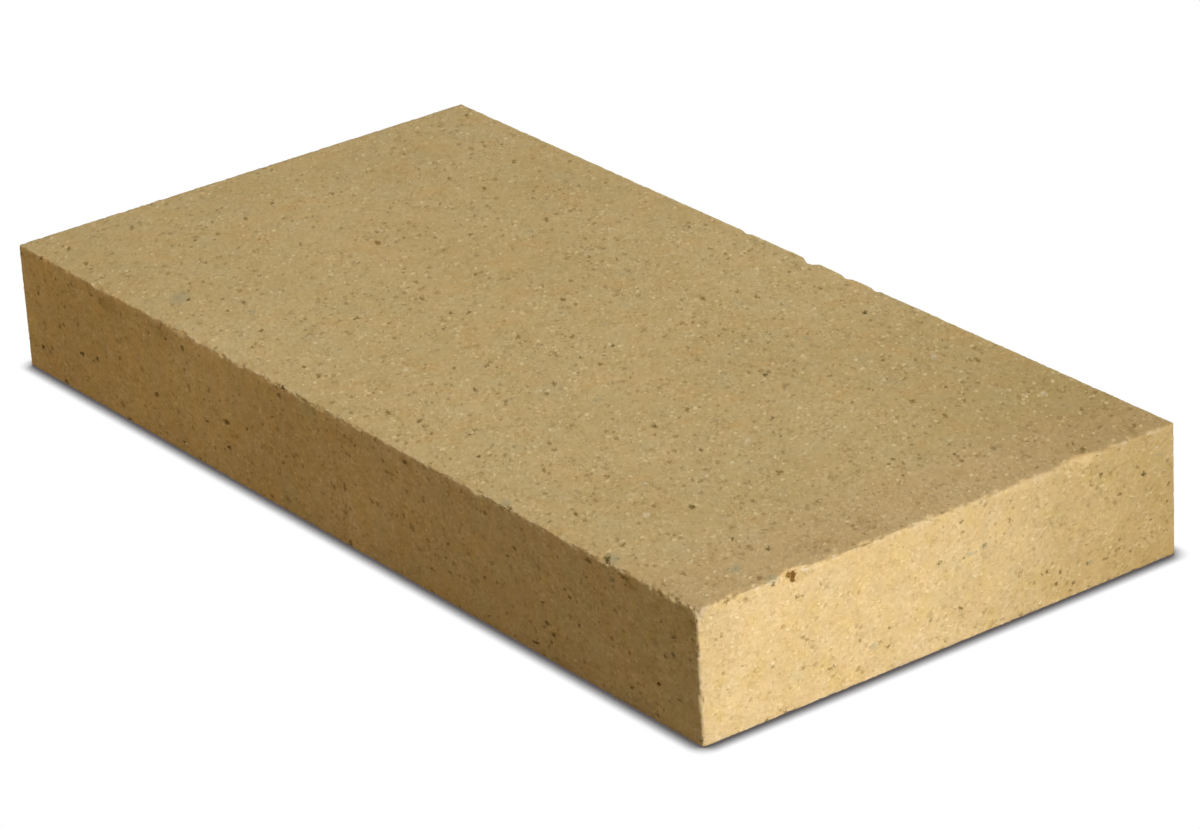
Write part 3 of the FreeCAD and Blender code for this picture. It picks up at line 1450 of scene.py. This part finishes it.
@dataclass
class PhotoCamera:
    """The camera at the photograph's viewing angle.

    Angles are in degrees, lengths in metres and the sensor's width in millimetres.
    """

    azimuth: float = 54.319
    elevation: float = 24.640
    roll: float = 3.303
    distance: float = 1.1263
    aim_right: float = 0.0066
    aim_up: float = -0.0049
    focal_pixels: float = 5200.5
    image_width: float = 1200.0
    sensor: float = 36.0

    def build(self, target: Vector) -> bpy.types.Object:
        """Adds the camera and makes it the scene's own.

        Args:
            target: the middle of the brick.

        Returns:
            The camera.
        """
        data = bpy.data.cameras.new("photo camera")
        data.sensor_width = self.sensor
        data.lens = self.focal_pixels / self.image_width * self.sensor
        camera = bpy.data.objects.new("photo camera", data)
        bpy.context.scene.collection.objects.link(camera)
        azimuth, elevation = math.radians(self.azimuth), math.radians(self.elevation)
        back = Vector((math.sin(azimuth) * math.cos(elevation),
                       -math.cos(azimuth) * math.cos(elevation),
                       math.sin(elevation)))
        right = Vector((0.0, 0.0, 1.0)).cross(back).normalized()
        turn = Matrix.Rotation(math.radians(-self.roll), 3, back)
        right = turn @ right
        up = back.cross(right)
        place = target + right * self.aim_right + up * self.aim_up + back * self.distance
        axes = Matrix((right, up, back)).transposed().to_4x4()
        camera.matrix_world = Matrix.Translation(place) @ axes
        bpy.context.scene.camera = camera
        return camera


class Lamp(NamedTuple):
    """A soft square lamp: where it hangs, what it points at, its side, its power and its colour."""

    name: str
    place: Triple
    aim: Triple
    side: float
    watts: float
    colour: Colour


@dataclass
class Studio:
    """A pale floor, a soft sky and five soft lamps. Lengths are in metres."""

    floor_half: float = 6.0
    floor_bounce: Colour = (0.30, 0.27, 0.195)
    shadow_reach: float = 0.0034
    shadow_lean: Triple = (-0.08, 0.03, 0.99)
    shadow_tone: Colour = (0.112, 0.102, 0.104)
    shadow_samples: int = 8
    shadow_level: float = 0.5
    shadow_gain: float = 2.04
    shadow_curve: float = 1.6
    sky: Colour = (0.20, 0.20, 0.20)
    lamps: Tuple[Lamp, ...] = (
        Lamp("overhead", (0.005, -0.020, 0.33), (0.005, -0.020, 0.0), 0.25, 0.224, (1.0, 1.0, 1.0)),
        Lamp("window", (2.79, 0.49, 2.83), (0.0, 0.0, 0.03), 1.4, 136.0, (1.0, 1.0, 0.92)),
        Lamp("key", (0.245, -0.036, 0.016), (0.125, -0.036, 0.015), 0.03, 0.160, (0.89, 0.89, 1.0)),
        Lamp("fill", (-0.12, -0.43, 0.03), (-0.12, 0.0, 0.015), 0.12, 0.532, (1.0, 0.674, 0.285)),
        Lamp("rear", (-0.30, 0.55, 0.016), (0.0, 0.0, 0.015), 0.03, 1.0, (1.0, 0.96, 0.88)),
    )

    def build(self) -> List[bpy.types.Object]:
        """Adds the floor, the sky and the lamps.

        Returns:
            The stage objects.
        """
        floor = self.floor()
        self.sky_dome()
        for lamp in self.lamps:
            self.hang(lamp)
        return [floor]

    def seen(self, graph: Graph) -> Field:
        """Says whether a ray shows the stage itself and doesn't only gather its light."""
        path = graph.node("ShaderNodeLightPath", {})
        mirrored = graph.field(path, "Is Glossy Ray").at_least(graph.field(path, "Is Transmission Ray"))
        return graph.field(path, "Is Camera Ray").at_least(mirrored)

    def floor(self) -> bpy.types.Object:
        """Adds the white floor, which keeps the brick's contact shadow.

        Returns:
            The floor.
        """
        half = self.floor_half
        mesh = bpy.data.meshes.new("floor")
        corners = [(-half, -half, 0.0), (half, -half, 0.0), (half, half, 0.0), (-half, half, 0.0)]
        mesh.from_pydata(corners, [], [range(len(corners))])
        floor = bpy.data.objects.new("floor", mesh)
        bpy.context.scene.collection.objects.link(floor)
        material = bpy.data.materials.new("white floor")
        material.use_nodes = True
        tree = material.node_tree
        tree.nodes.clear()
        graph = Graph(tree)
        lean = graph.vector("NORMALIZE", self.shadow_lean)
        inputs = {"Distance": self.shadow_reach, "Normal": lean}
        probe = graph.node("ShaderNodeAmbientOcclusion", inputs, samples=self.shadow_samples)
        open_sky = (graph.field(probe, "AO") - self.shadow_level) * self.shadow_gain
        open_sky = open_sky.at_least(0.0).at_most(1.0).power(self.shadow_curve)
        shown = graph.tinted(open_sky, self.shadow_tone, (1.0, 1.0, 1.0))
        glow = graph.node("ShaderNodeEmission", {"Color": shown})
        bounce = graph.node("ShaderNodeBsdfDiffuse", {"Color": (*self.floor_bounce, 1.0)})
        inputs = {0: self.seen(graph), 1: bounce.outputs[0], 2: glow.outputs[0]}
        mixed = graph.node("ShaderNodeMixShader", inputs)
        output = tree.nodes.new("ShaderNodeOutputMaterial")
        tree.links.new(mixed.outputs[0], output.inputs[0])
        mesh.materials.append(material)
        return floor

    def sky_dome(self) -> None:
        """Makes the world a soft even light that shows as white."""
        world = bpy.data.worlds.new("studio sky")
        world.use_nodes = True
        tree = world.node_tree
        tree.nodes.clear()
        graph = Graph(tree)
        shown = graph.tinted(self.seen(graph), self.sky, (1.0, 1.0, 1.0))
        background = graph.node("ShaderNodeBackground", {"Color": shown})
        output = tree.nodes.new("ShaderNodeOutputWorld")
        tree.links.new(background.outputs[0], output.inputs[0])
        bpy.context.scene.world = world

    def hang(self, lamp: Lamp) -> bpy.types.Object:
        """Adds a lamp.

        Args:
            lamp: its sizes.

        Returns:
            The lamp.
        """
        data = bpy.data.lights.new(lamp.name, "AREA")
        data.size = lamp.side
        data.energy = lamp.watts
        data.color = lamp.colour
        hung = bpy.data.objects.new(lamp.name, data)
        bpy.context.scene.collection.objects.link(hung)
        hung.visible_camera = False
        hung.location = lamp.place
        hung.rotation_euler = (Vector(lamp.aim) - Vector(lamp.place)).to_track_quat("-Z", "Y").to_euler()
        return hung


def main() -> None:
    """Builds the brick, the studio and the camera in order."""
    logging.basicConfig(level=logging.INFO, format="%(name)s: %(message)s")
    box = BrickBox.of_node(SOLID_NODE)
    brick = Firebrick(PressedClay(box), ClayRelief(), FiredClay())
    piece = brick.build()
    log.info("%s: %d faces, %d points", piece.name, len(piece.data.polygons), len(piece.data.vertices))
    for stage in Studio().build():
        log.info("%s: stage", stage.name)
    camera = PhotoCamera().build(Vector((0.0, 0.0, box.thickness / 2 * MILLIMETRE)))
    log.info("%s: lens %.1f mm", camera.name, camera.data.lens)
    bpy.context.scene.view_settings.view_transform = "Standard"


if __name__ == "__main__":
    main()
